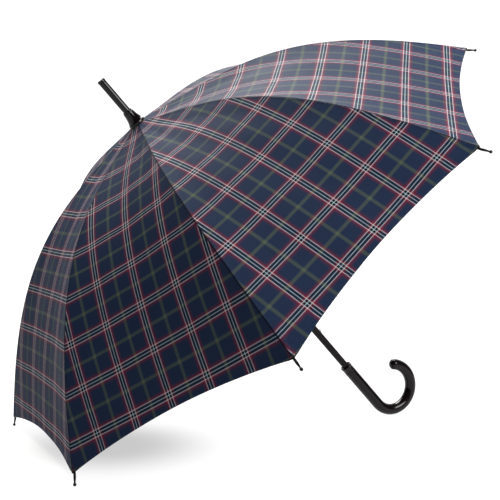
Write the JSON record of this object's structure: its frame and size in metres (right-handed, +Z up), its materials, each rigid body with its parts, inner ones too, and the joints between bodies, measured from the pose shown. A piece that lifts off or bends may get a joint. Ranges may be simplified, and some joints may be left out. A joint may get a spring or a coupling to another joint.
{
  "type": "stick umbrella",
  "caption": "Stick umbrella with a plaid cloth cover on folding ribs, a sliding runner, a long ferrule and a crook handle, open and resting on two rib tips and the crook.",
  "frame": {"origin": "centre of the object's box on the ground it rests on", "axes": "+Z up, +X follows the shaft's direction on the ground towards the ferrule, +Y across the cover's widest span"},
  "size_m": [0.753, 0.9934, 0.6948],
  "materials": {
    "black_lacquer": "satin",
    "gloss_black": "gloss",
    "frame_steel": "satin",
    "rod_black": "satin",
    "bright_steel": "satin",
    "black_nylon": "matte",
    "plaid_cloth": "matte",
    "black_felt": "matte"
  },
  "bodies": {
    "root": {"shaft": "black_lacquer", "ferrule": "gloss_black", "ferrule_bell": "gloss_black", "cover_washer": "black_felt", "crown_notch": "black_nylon", "crown_wire": "bright_steel", "runner_stop_pin": "bright_steel", "handle_collar": "gloss_black", "handle_crook": "gloss_black"},
    "rib_1": {"rib_1_inner": "frame_steel", "cover_panel_1": "plaid_cloth"},
    "rib_2": {"rib_2_inner": "frame_steel", "cover_panel_2": "plaid_cloth"},
    "rib_3": {"rib_3_inner": "frame_steel", "cover_panel_3": "plaid_cloth"},
    "rib_4": {"rib_4_inner": "frame_steel", "cover_panel_4": "plaid_cloth"},
    "rib_5": {"rib_5_inner": "frame_steel", "cover_panel_5": "plaid_cloth"},
    "rib_6": {"rib_6_inner": "frame_steel", "cover_panel_6": "plaid_cloth"},
    "rib_7": {"rib_7_inner": "frame_steel", "cover_panel_7": "plaid_cloth"},
    "rib_8": {"rib_8_inner": "frame_steel", "cover_panel_8": "plaid_cloth"},
    "rib_1_end": {"rib_1_outer": "rod_black", "rib_1_tip": "rod_black"},
    "rib_2_end": {"rib_2_outer": "rod_black", "rib_2_tip": "rod_black"},
    "rib_3_end": {"rib_3_outer": "rod_black", "rib_3_tip": "rod_black"},
    "rib_4_end": {"rib_4_outer": "rod_black", "rib_4_tip": "rod_black"},
    "rib_5_end": {"rib_5_outer": "rod_black", "rib_5_tip": "rod_black"},
    "rib_6_end": {"rib_6_outer": "rod_black", "rib_6_tip": "rod_black"},
    "rib_7_end": {"rib_7_outer": "rod_black", "rib_7_tip": "rod_black"},
    "rib_8_end": {"rib_8_outer": "rod_black", "rib_8_tip": "rod_black"},
    "stretcher_1": {"stretcher_1": "frame_steel"},
    "stretcher_2": {"stretcher_2": "frame_steel"},
    "stretcher_3": {"stretcher_3": "frame_steel"},
    "stretcher_4": {"stretcher_4": "frame_steel"},
    "stretcher_5": {"stretcher_5": "frame_steel"},
    "stretcher_6": {"stretcher_6": "frame_steel"},
    "stretcher_7": {"stretcher_7": "frame_steel"},
    "stretcher_8": {"stretcher_8": "frame_steel"},
    "runner": {"runner": "black_nylon", "runner_wire": "bright_steel"},
    "top_catch": {"top_catch": "bright_steel"},
    "bottom_catch": {"bottom_catch": "bright_steel"}
  },
  "joints": [
    {"name": "rib_1_fold", "type": "hinge", "parent": "root", "child": "rib_1", "pos_m": [0.19568, 0.00402, 0.54807], "axis": [-0.2772, -0.9239, 0.2638], "range_deg": [0, 73.97], "deforming": ["cover_panel_1"]},
    {"name": "rib_2_fold", "type": "hinge", "parent": "root", "child": "rib_2", "pos_m": [0.1998, 0.0097, 0.54415], "axis": [-0.6693, -0.3827, 0.6369], "range_deg": [0, 73.97], "deforming": ["cover_panel_2"]},
    {"name": "rib_3_fold", "type": "hinge", "parent": "root", "child": "rib_3", "pos_m": [0.20562, 0.0097, 0.53861], "axis": [-0.6693, 0.3827, 0.6369], "range_deg": [0, 73.97], "deforming": ["cover_panel_3"]},
    {"name": "rib_4_fold", "type": "hinge", "parent": "root", "child": "rib_4", "pos_m": [0.20974, 0.00402, 0.5347], "axis": [-0.2772, 0.9239, 0.2638], "range_deg": [0, 73.97], "deforming": ["cover_panel_4"]},
    {"name": "rib_5_fold", "type": "hinge", "parent": "root", "child": "rib_5", "pos_m": [0.20974, -0.00402, 0.5347], "axis": [0.2772, 0.9239, -0.2638], "range_deg": [0, 73.97], "deforming": ["cover_panel_5"]},
    {"name": "rib_6_fold", "type": "hinge", "parent": "root", "child": "rib_6", "pos_m": [0.20562, -0.0097, 0.53861], "axis": [0.6693, 0.3827, -0.6369], "range_deg": [0, 73.97], "deforming": ["cover_panel_6"]},
    {"name": "rib_7_fold", "type": "hinge", "parent": "root", "child": "rib_7", "pos_m": [0.1998, -0.0097, 0.54415], "axis": [0.6693, -0.3827, -0.6369], "range_deg": [0, 73.97], "deforming": ["cover_panel_7"]},
    {"name": "rib_8_fold", "type": "hinge", "parent": "root", "child": "rib_8", "pos_m": [0.19568, -0.00402, 0.54807], "axis": [0.2772, -0.9239, -0.2638], "range_deg": [0, 73.97], "deforming": ["cover_panel_8"]},
    {"name": "rib_1_flex", "type": "hinge", "parent": "rib_1", "child": "rib_1_end", "pos_m": [-0.00484, 0.09758, 0.66503], "axis": [-0.2772, -0.9239, 0.2638], "range_deg": [-20.69, 0]},
    {"name": "rib_2_flex", "type": "hinge", "parent": "rib_2", "child": "rib_2_end", "pos_m": [0.09514, 0.23559, 0.5699], "axis": [-0.6693, -0.3827, 0.6369], "range_deg": [-20.69, 0]},
    {"name": "rib_3_flex", "type": "hinge", "parent": "rib_3", "child": "rib_3_end", "pos_m": [0.23653, 0.23559, 0.43536], "axis": [-0.6693, 0.3827, 0.6369], "range_deg": [-20.69, 0]},
    {"name": "rib_4_flex", "type": "hinge", "parent": "rib_4", "child": "rib_4_end", "pos_m": [0.33651, 0.09758, 0.34023], "axis": [-0.2772, 0.9239, 0.2638], "range_deg": [-20.69, 0]},
    {"name": "rib_5_flex", "type": "hinge", "parent": "rib_5", "child": "rib_5_end", "pos_m": [0.33651, -0.09758, 0.34023], "axis": [0.2772, 0.9239, -0.2638], "range_deg": [-20.69, 0]},
    {"name": "rib_6_flex", "type": "hinge", "parent": "rib_6", "child": "rib_6_end", "pos_m": [0.23653, -0.23559, 0.43536], "axis": [0.6693, 0.3827, -0.6369], "range_deg": [-20.69, 0]},
    {"name": "rib_7_flex", "type": "hinge", "parent": "rib_7", "child": "rib_7_end", "pos_m": [0.09514, -0.23559, 0.5699], "axis": [0.6693, -0.3827, -0.6369], "range_deg": [-20.69, 0]},
    {"name": "rib_8_flex", "type": "hinge", "parent": "rib_8", "child": "rib_8_end", "pos_m": [-0.00484, -0.09758, 0.66503], "axis": [0.2772, -0.9239, -0.2638], "range_deg": [-20.69, 0]},
    {"name": "stretcher_1_hinge", "type": "hinge", "parent": "rib_1", "child": "stretcher_1", "pos_m": [-0.00095, 0.09457, 0.65857], "axis": [-0.2772, -0.9239, 0.2638], "range_deg": [-147.95, 0]},
    {"name": "stretcher_2_hinge", "type": "hinge", "parent": "rib_2", "child": "stretcher_2", "pos_m": [0.09595, 0.22832, 0.56637], "axis": [-0.6693, -0.3827, 0.6369], "range_deg": [-147.95, 0]},
    {"name": "stretcher_3_hinge", "type": "hinge", "parent": "rib_3", "child": "stretcher_3", "pos_m": [0.23297, 0.22832, 0.43599], "axis": [-0.6693, 0.3827, 0.6369], "range_deg": [-147.95, 0]},
    {"name": "stretcher_4_hinge", "type": "hinge", "parent": "rib_4", "child": "stretcher_4", "pos_m": [0.32986, 0.09457, 0.3438], "axis": [-0.2772, 0.9239, 0.2638], "range_deg": [-147.95, 0]},
    {"name": "stretcher_5_hinge", "type": "hinge", "parent": "rib_5", "child": "stretcher_5", "pos_m": [0.32986, -0.09457, 0.3438], "axis": [0.2772, 0.9239, -0.2638], "range_deg": [-147.95, 0]},
    {"name": "stretcher_6_hinge", "type": "hinge", "parent": "rib_6", "child": "stretcher_6", "pos_m": [0.23297, -0.22832, 0.43599], "axis": [0.6693, 0.3827, -0.6369], "range_deg": [-147.95, 0]},
    {"name": "stretcher_7_hinge", "type": "hinge", "parent": "rib_7", "child": "stretcher_7", "pos_m": [0.09595, -0.22832, 0.56637], "axis": [0.6693, -0.3827, -0.6369], "range_deg": [-147.95, 0]},
    {"name": "stretcher_8_hinge", "type": "hinge", "parent": "rib_8", "child": "stretcher_8", "pos_m": [-0.00095, -0.09457, 0.65857], "axis": [0.2772, -0.9239, -0.2638], "range_deg": [-147.95, 0]},
    {"name": "runner_slide", "type": "hinge", "parent": "stretcher_1", "child": "runner", "pos_m": [0.11918, 0.00402, 0.46767], "axis": [-0.2772, -0.9239, 0.2638], "range_deg": [0, 73.98]},
    {"name": "top_catch_press", "type": "slide", "parent": "root", "child": "top_catch", "axis": [0.7245, 0, -0.6893], "range_m": [0, 0.0026], "stiffness_N_per_m": 1200},
    {"name": "bottom_catch_press", "type": "slide", "parent": "root", "child": "bottom_catch", "axis": [0.7245, 0, -0.6893], "range_m": [0, 0.0026], "stiffness_N_per_m": 1200}
  ],
  "couplings": [
    {"joint": "rib_2_fold", "follows": "rib_1_fold", "ratio": 1},
    {"joint": "rib_3_fold", "follows": "rib_1_fold", "ratio": 1},
    {"joint": "rib_4_fold", "follows": "rib_1_fold", "ratio": 1},
    {"joint": "rib_5_fold", "follows": "rib_1_fold", "ratio": 1},
    {"joint": "rib_6_fold", "follows": "rib_1_fold", "ratio": 1},
    {"joint": "rib_7_fold", "follows": "rib_1_fold", "ratio": 1},
    {"joint": "rib_8_fold", "follows": "rib_1_fold", "ratio": 1},
    {"joint": "rib_1_flex", "follows": "rib_1_fold", "ratio": -0.27952},
    {"joint": "rib_2_flex", "follows": "rib_1_fold", "ratio": -0.27952},
    {"joint": "rib_3_flex", "follows": "rib_1_fold", "ratio": -0.27952},
    {"joint": "rib_4_flex", "follows": "rib_1_fold", "ratio": -0.27952},
    {"joint": "rib_5_flex", "follows": "rib_1_fold", "ratio": -0.27952},
    {"joint": "rib_6_flex", "follows": "rib_1_fold", "ratio": -0.27952},
    {"joint": "rib_7_flex", "follows": "rib_1_fold", "ratio": -0.27952},
    {"joint": "rib_8_flex", "follows": "rib_1_fold", "ratio": -0.27952},
    {"joint": "stretcher_1_hinge", "follows": "rib_1_fold", "ratio": -2},
    {"joint": "stretcher_2_hinge", "follows": "rib_1_fold", "ratio": -2},
    {"joint": "stretcher_3_hinge", "follows": "rib_1_fold", "ratio": -2},
    {"joint": "stretcher_4_hinge", "follows": "rib_1_fold", "ratio": -2},
    {"joint": "stretcher_5_hinge", "follows": "rib_1_fold", "ratio": -2},
    {"joint": "stretcher_6_hinge", "follows": "rib_1_fold", "ratio": -2},
    {"joint": "stretcher_7_hinge", "follows": "rib_1_fold", "ratio": -2},
    {"joint": "stretcher_8_hinge", "follows": "rib_1_fold", "ratio": -2},
    {"joint": "runner_slide", "follows": "rib_1_fold", "ratio": 1}
  ]
}
